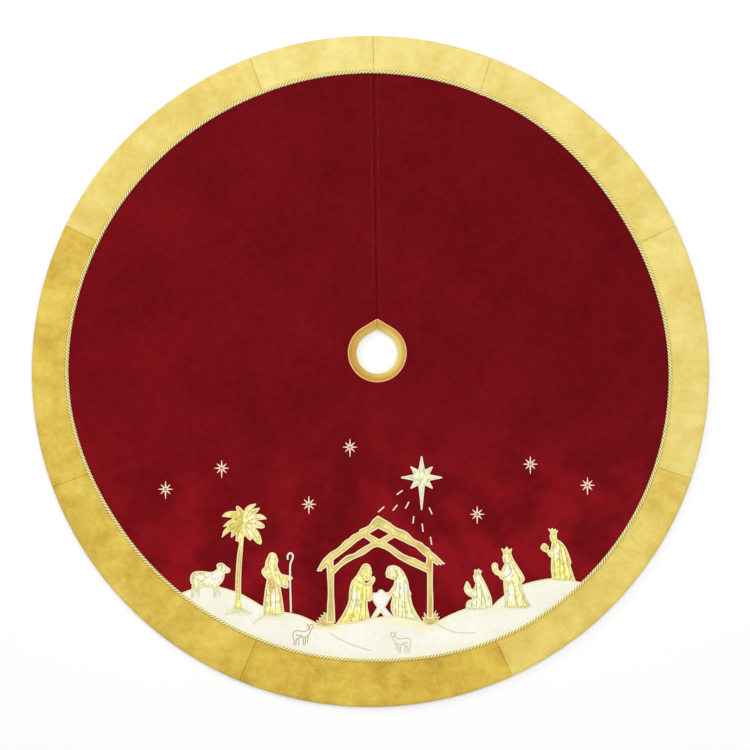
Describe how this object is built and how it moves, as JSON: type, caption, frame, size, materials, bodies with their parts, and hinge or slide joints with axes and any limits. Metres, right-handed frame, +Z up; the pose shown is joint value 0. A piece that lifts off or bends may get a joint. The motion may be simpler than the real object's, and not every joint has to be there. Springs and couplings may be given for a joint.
{
  "type": "tree skirt",
  "caption": "Round lined velvet tree skirt with a back slit, a pointed neck hole, a gold panelled border, rope trim and an appliqued nativity picture.",
  "frame": {"origin": "centre of the disc on the floor, under the lining", "axes": "+Z up from the floor, +Y towards the slit at the back, -Y towards the picture in front, +X to the right of the picture"},
  "size_m": [1.222, 1.211, 0.0084],
  "materials": {
    "lining_cotton": "plain woven cotton, matt",
    "wadding": "soft unwoven wadding, sealed inside",
    "red_velvet": "cotton velvet, short pile, mottled nap",
    "facing_cloth": "turned-in velvet edge, sealed inside",
    "gold_satin": "satin bias strip with soft sheen",
    "gold_velvet": "crushed velvet, mottled nap, differs from panel to panel",
    "rope_thread": "twisted rayon cord",
    "ivory_satin": "heavy satin, soft sheen",
    "gold_lame": "gold lame with pale satin-stitch edge",
    "cream_lame": "streaked cream and gold lame with pale satin-stitch edge",
    "white_satin": "satin stitch and white satin",
    "green_thread": "grey-green embroidery thread"
  },
  "bodies": {
    "root": {"lining_main": "lining_cotton", "interlining_main": "wadding", "velvet_main": "red_velvet", "neck_binding_main": "gold_satin", "border_front": "gold_velvet", "border_front_left": "gold_velvet", "border_front_right": "gold_velvet", "border_side_left": "gold_velvet", "border_side_right": "gold_velvet", "border_back_left": "gold_velvet", "border_back_right": "gold_velvet", "rope_trim_main": "rope_thread", "snow_ground": "ivory_satin", "stable_frame": "gold_lame", "grass_tuft_left": "gold_lame", "grass_tuft_right": "gold_lame", "palm_tree": "cream_lame", "sheep": "cream_lame", "shepherd": "cream_lame", "kneeling_man": "cream_lame", "kneeling_woman": "cream_lame", "king_kneeling": "cream_lame", "king_bearing": "cream_lame", "king_standing": "cream_lame", "shepherd_crook": "white_satin", "manger": "white_satin", "guiding_star": "white_satin", "small_star_1": "white_satin", "small_star_2": "white_satin", "small_star_3": "white_satin", "small_star_4": "white_satin", "small_star_5": "white_satin", "small_star_6": "white_satin", "small_star_7": "white_satin", "star_ray_1": "white_satin", "star_ray_2": "white_satin", "star_ray_3": "white_satin", "star_ray_4": "white_satin", "star_ray_5": "white_satin", "star_ray_6": "white_satin", "star_ray_7": "white_satin", "star_ray_8": "white_satin", "lamb_left": "green_thread", "lamb_centre": "green_thread"},
    "flap_left": {"lining_flap_left": "lining_cotton", "interlining_flap_left": "wadding", "velvet_flap_left": "red_velvet", "slit_facing_left": "facing_cloth", "border_slit_left": "gold_velvet", "rope_trim_flap_left": "rope_thread", "neck_binding_flap_left": "gold_satin"},
    "flap_right": {"lining_flap_right": "lining_cotton", "interlining_flap_right": "wadding", "velvet_flap_right": "red_velvet", "slit_facing_right": "facing_cloth", "border_slit_right": "gold_velvet", "rope_trim_flap_right": "rope_thread", "neck_binding_flap_right": "gold_satin"}
  },
  "joints": [
    {"name": "flap_left_fold", "type": "hinge", "parent": "root", "child": "flap_left", "pos_m": [-0.026, 0.0336, 0.0084], "axis": [0.3381, -0.9411, 0], "range_deg": [0, 170]},
    {"name": "flap_right_fold", "type": "hinge", "parent": "root", "child": "flap_right", "pos_m": [0.0506, 0.0336, 0.0084], "axis": [0.2987, 0.9543, 0], "range_deg": [0, 170]}
  ]
}
